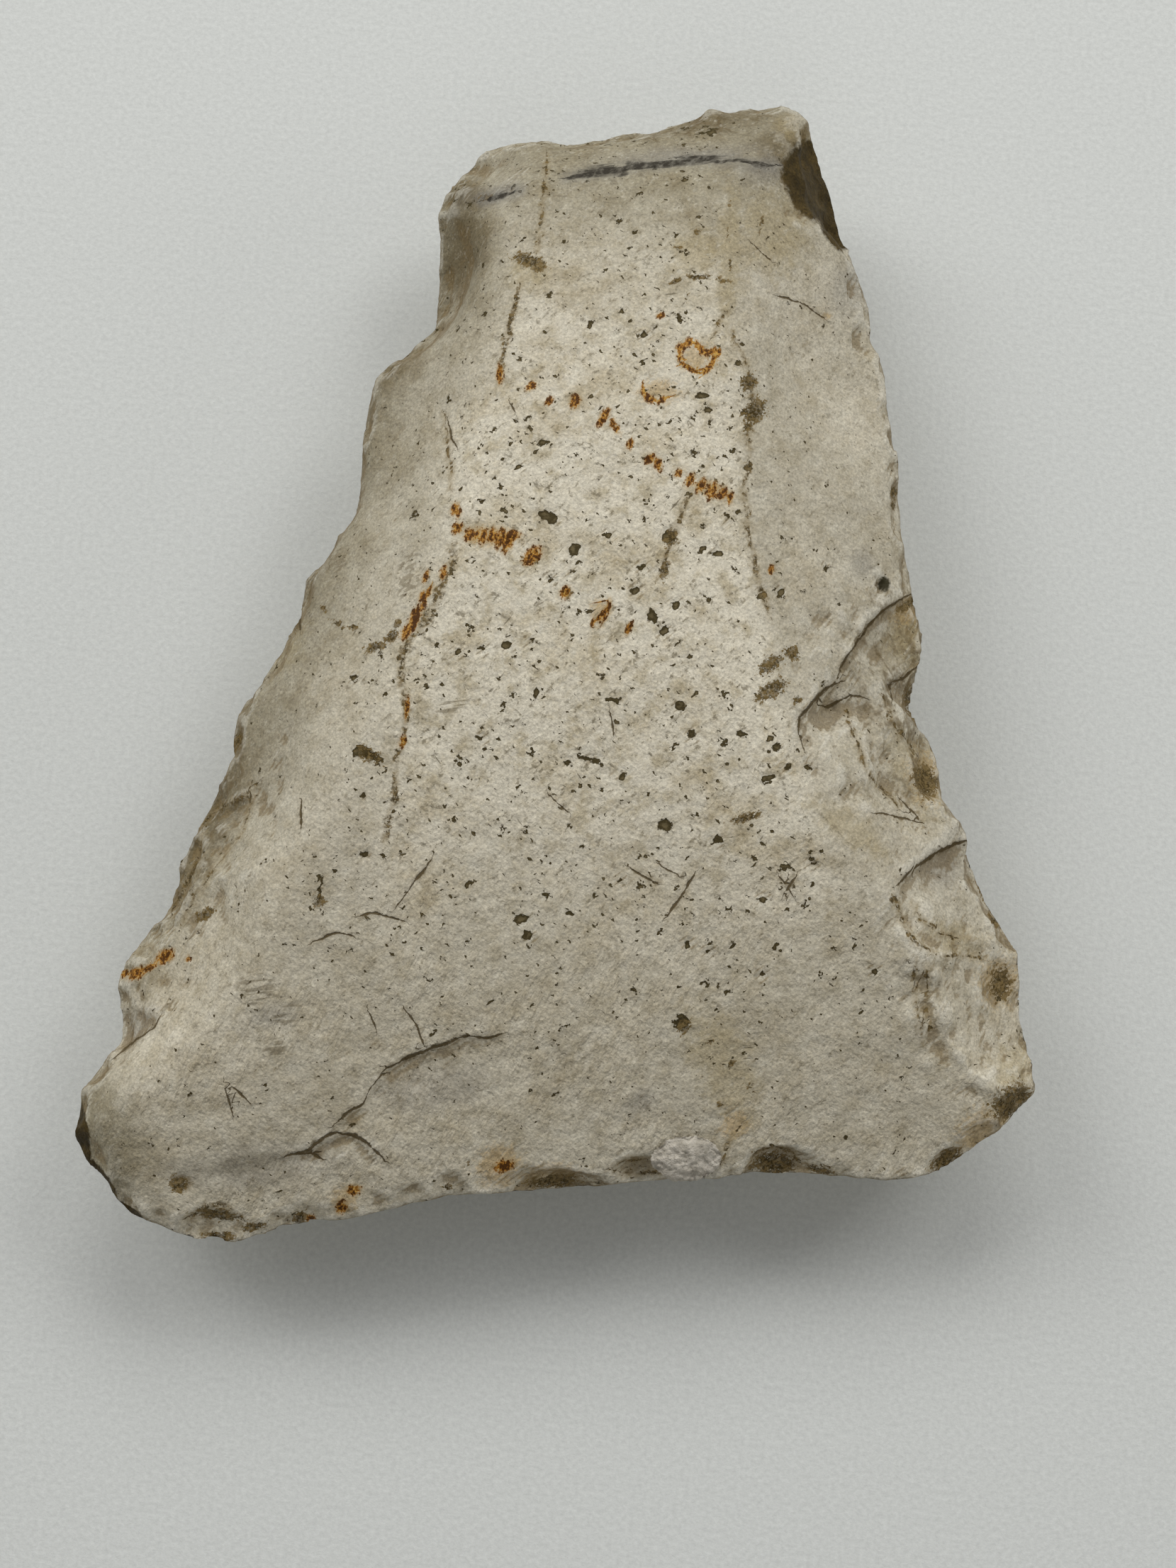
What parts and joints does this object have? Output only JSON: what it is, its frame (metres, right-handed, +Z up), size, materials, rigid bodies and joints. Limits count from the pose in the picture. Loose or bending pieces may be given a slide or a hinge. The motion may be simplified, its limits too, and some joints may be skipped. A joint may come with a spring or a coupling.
{
  "type": "flint axe head",
  "caption": "Flat flared stone axe head with a curved cutting edge, a narrow bevelled butt, chipped sides and a ground face; lies on its lower face.",
  "frame": {"origin": "middle of the part's footprint, on the plane of the flat that the stone rests on", "axes": "+Z up out of the ground upper face, +Y along the head to the butt, -Y to the cutting edge, +X to the right seen from above"},
  "size_m": [0.0708, 0.0919, 0.0201],
  "materials": {
    "patinated_flint": "satin",
    "chalk_crust": "matte"
  },
  "bodies": {
    "root": {"axe_head": "patinated_flint", "chalk_crust": "chalk_crust"}
  },
  "joints": []
}
